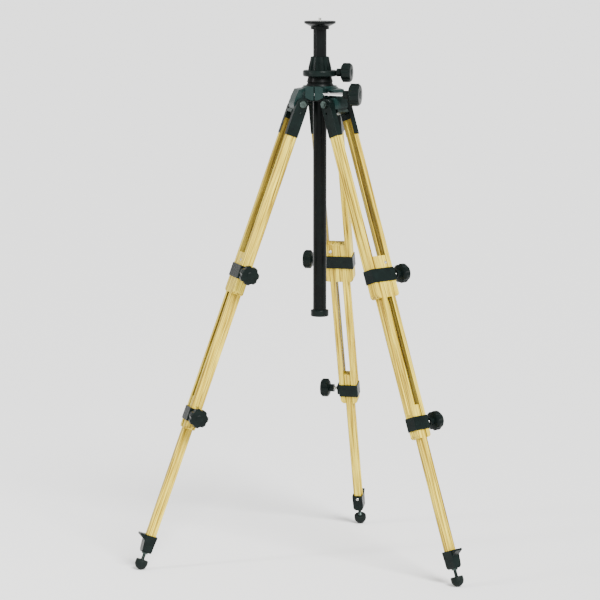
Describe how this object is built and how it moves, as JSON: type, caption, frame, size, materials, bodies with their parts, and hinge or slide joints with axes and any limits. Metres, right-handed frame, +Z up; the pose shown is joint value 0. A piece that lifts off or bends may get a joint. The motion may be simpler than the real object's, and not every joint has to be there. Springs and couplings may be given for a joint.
{
  "type": "wooden camera tripod",
  "caption": "Three-section wooden tripod with a clamped levelling ball, a sliding metal centre column, a camera plate, star knobs and round rubber feet.",
  "frame": {"origin": "centre of the camera plate's upper face, on the column's axis", "axes": "+Z up the centre column, +Y towards the rear leg, +X towards the side of the clamp knobs"},
  "size_m": [0.7422, 0.6466, 1.216],
  "materials": {
    "ash_wood": "clear satin oil over straight-grained ash",
    "hub_casting": "dark hammered paint on a casting",
    "black_casting": "satin black powder coat",
    "black_anodised": "black anodised",
    "bright_steel": "bright zinc plate",
    "dark_steel": "blackened steel",
    "chrome_rod": "polished chrome",
    "knob_plastic": "fine-textured black",
    "seat_nylon": "natural nylon",
    "foot_rubber": "matt black"
  },
  "bodies": {
    "head": {"hub": "hub_casting"},
    "seat": {"ball_seat": "seat_nylon"},
    "ball": {"levelling_ball": "black_anodised", "column_clamp": "black_casting"},
    "column": {"column_tube": "black_anodised", "camera_plate": "black_anodised", "camera_screw": "bright_steel", "column_cap": "knob_plastic"},
    "column_knob": {"column_clamp_screw": "bright_steel", "column_clamp_knob": "knob_plastic"},
    "ball_knob": {"ball_clamp_rod": "chrome_rod", "ball_clamp_knob": "knob_plastic"},
    "rear_leg": {"rear_leg_caps": "black_casting", "rear_pivot_bolt": "dark_steel", "rear_upper_rails": "ash_wood", "rear_upper_clamp": "black_casting"},
    "rear_catch": {"rear_angle_catch": "dark_steel"},
    "rear_upper_knob_set": {"rear_upper_screw": "bright_steel", "rear_upper_knob": "knob_plastic"},
    "rear_middle": {"rear_middle_rails": "ash_wood", "rear_spreader_block": "ash_wood", "rear_lower_clamp": "black_casting"},
    "rear_lower_knob_set": {"rear_lower_screw": "bright_steel", "rear_lower_knob": "knob_plastic"},
    "rear_lower": {"rear_lower_rail": "ash_wood", "rear_foot_shoe": "black_casting", "rear_foot_stem": "dark_steel"},
    "rear_foot": {"rear_rubber_foot": "foot_rubber"},
    "right_leg": {"right_leg_caps": "black_casting", "right_pivot_bolt": "dark_steel", "right_upper_rails": "ash_wood", "right_upper_clamp": "black_casting"},
    "right_catch": {"right_angle_catch": "dark_steel"},
    "right_upper_knob_set": {"right_upper_screw": "bright_steel", "right_upper_knob": "knob_plastic"},
    "right_middle": {"right_middle_rails": "ash_wood", "right_spreader_block": "ash_wood", "right_lower_clamp": "black_casting"},
    "right_lower_knob_set": {"right_lower_screw": "bright_steel", "right_lower_knob": "knob_plastic"},
    "right_lower": {"right_lower_rail": "ash_wood", "right_foot_shoe": "black_casting", "right_foot_stem": "dark_steel"},
    "right_foot": {"right_rubber_foot": "foot_rubber"},
    "left_leg": {"left_leg_caps": "black_casting", "left_pivot_bolt": "dark_steel", "left_upper_rails": "ash_wood", "left_upper_clamp": "black_casting"},
    "left_catch": {"left_angle_catch": "dark_steel"},
    "left_upper_knob_set": {"left_upper_screw": "bright_steel", "left_upper_knob": "knob_plastic"},
    "left_middle": {"left_middle_rails": "ash_wood", "left_spreader_block": "ash_wood", "left_lower_clamp": "black_casting"},
    "left_lower_knob_set": {"left_lower_screw": "bright_steel", "left_lower_knob": "knob_plastic"},
    "left_lower": {"left_lower_rail": "ash_wood", "left_foot_shoe": "black_casting", "left_foot_stem": "dark_steel"},
    "left_foot": {"left_rubber_foot": "foot_rubber"}
  },
  "joints": [
    {"name": "seat_turn", "type": "hinge", "parent": "head", "child": "seat", "pos_m": [0, 0, -0.158], "axis": [0, 0, 1], "continuous": true},
    {"name": "ball_tilt", "type": "hinge", "parent": "seat", "child": "ball", "pos_m": [0, 0, -0.158], "axis": [1, 0, 0], "range_deg": [0, 12]},
    {"name": "column_slide", "type": "slide", "parent": "ball", "child": "column", "axis": [0, 0, 1], "range_m": [-0.058, 0.46]},
    {"name": "column_knob_turn", "type": "hinge", "parent": "ball", "child": "column_knob", "pos_m": [0.05, 0, -0.113], "axis": [1, 0, 0], "range_deg": [0, 360]},
    {"name": "ball_knob_turn", "type": "hinge", "parent": "head", "child": "ball_knob", "pos_m": [0.05, -0.045, -0.159], "axis": [1, 0, 0], "range_deg": [0, 360]},
    {"name": "rear_spread", "type": "hinge", "parent": "head", "child": "rear_leg", "pos_m": [0, 0.0493, -0.181], "axis": [1, 0, 0], "range_deg": [-19.7, 0]},
    {"name": "rear_catch_flip", "type": "hinge", "parent": "rear_leg", "child": "rear_catch", "pos_m": [0, 0.0535, -0.20074], "axis": [-1, 0, 0], "range_deg": [0, 55]},
    {"name": "rear_upper_knob_turn", "type": "hinge", "parent": "rear_leg", "child": "rear_upper_knob_set", "pos_m": [-0.055, 0.18198, -0.55156], "axis": [-1, 0, 0], "range_deg": [0, 360]},
    {"name": "rear_middle_slide", "type": "slide", "parent": "rear_leg", "child": "rear_middle", "axis": [0, -0.3371, 0.9415], "range_m": [0, 0.26]},
    {"name": "rear_lower_knob_turn", "type": "hinge", "parent": "rear_middle", "child": "rear_lower_knob_set", "pos_m": [-0.04, 0.2945, -0.86583], "axis": [-1, 0, 0], "range_deg": [0, 360]},
    {"name": "rear_lower_slide", "type": "slide", "parent": "rear_middle", "child": "rear_lower", "axis": [0, -0.3371, 0.9415], "range_m": [0, 0.24]},
    {"name": "rear_foot_turn", "type": "hinge", "parent": "rear_lower", "child": "rear_foot", "pos_m": [0, 0.41254, -1.1955], "axis": [0, 0.3371, -0.9415], "range_deg": [0, 360]},
    {"name": "right_spread", "type": "hinge", "parent": "head", "child": "right_leg", "pos_m": [0.04269, -0.02465, -0.181], "axis": [-0.5, -0.866, 0], "range_deg": [-19.7, 0]},
    {"name": "right_catch_flip", "type": "hinge", "parent": "right_leg", "child": "right_catch", "pos_m": [0.04633, -0.02675, -0.20074], "axis": [0.5, 0.866, 0], "range_deg": [0, 55]},
    {"name": "right_upper_knob_turn", "type": "hinge", "parent": "right_leg", "child": "right_upper_knob_set", "pos_m": [0.1851, -0.04336, -0.55156], "axis": [0.5, 0.866, 0], "range_deg": [0, 360]},
    {"name": "right_middle_slide", "type": "slide", "parent": "right_leg", "child": "right_middle", "axis": [-0.2919, 0.1685, 0.9415], "range_m": [0, 0.26]},
    {"name": "right_lower_knob_turn", "type": "hinge", "parent": "right_middle", "child": "right_lower_knob_set", "pos_m": [0.27505, -0.11261, -0.86583], "axis": [0.5, 0.866, 0], "range_deg": [0, 360]},
    {"name": "right_lower_slide", "type": "slide", "parent": "right_middle", "child": "right_lower", "axis": [-0.2919, 0.1685, 0.9415], "range_m": [0, 0.24]},
    {"name": "right_foot_turn", "type": "hinge", "parent": "right_lower", "child": "right_foot", "pos_m": [0.35727, -0.20627, -1.1955], "axis": [0.2919, -0.1685, -0.9415], "range_deg": [0, 360]},
    {"name": "left_spread", "type": "hinge", "parent": "head", "child": "left_leg", "pos_m": [-0.04269, -0.02465, -0.181], "axis": [-0.5, 0.866, 0], "range_deg": [-19.7, 0]},
    {"name": "left_catch_flip", "type": "hinge", "parent": "left_leg", "child": "left_catch", "pos_m": [-0.04633, -0.02675, -0.20074], "axis": [0.5, -0.866, 0], "range_deg": [0, 55]},
    {"name": "left_upper_knob_turn", "type": "hinge", "parent": "left_leg", "child": "left_upper_knob_set", "pos_m": [-0.1301, -0.13862, -0.55156], "axis": [0.5, -0.866, 0], "range_deg": [0, 360]},
    {"name": "left_middle_slide", "type": "slide", "parent": "left_leg", "child": "left_middle", "axis": [0.2919, 0.1685, 0.9415], "range_m": [0, 0.26]},
    {"name": "left_lower_knob_turn", "type": "hinge", "parent": "left_middle", "child": "left_lower_knob_set", "pos_m": [-0.23505, -0.18189, -0.86583], "axis": [0.5, -0.866, 0], "range_deg": [0, 360]},
    {"name": "left_lower_slide", "type": "slide", "parent": "left_middle", "child": "left_lower", "axis": [0.2919, 0.1685, 0.9415], "range_m": [0, 0.24]},
    {"name": "left_foot_turn", "type": "hinge", "parent": "left_lower", "child": "left_foot", "pos_m": [-0.35727, -0.20627, -1.1955], "axis": [-0.2919, -0.1685, -0.9415], "range_deg": [0, 360]}
  ]
}
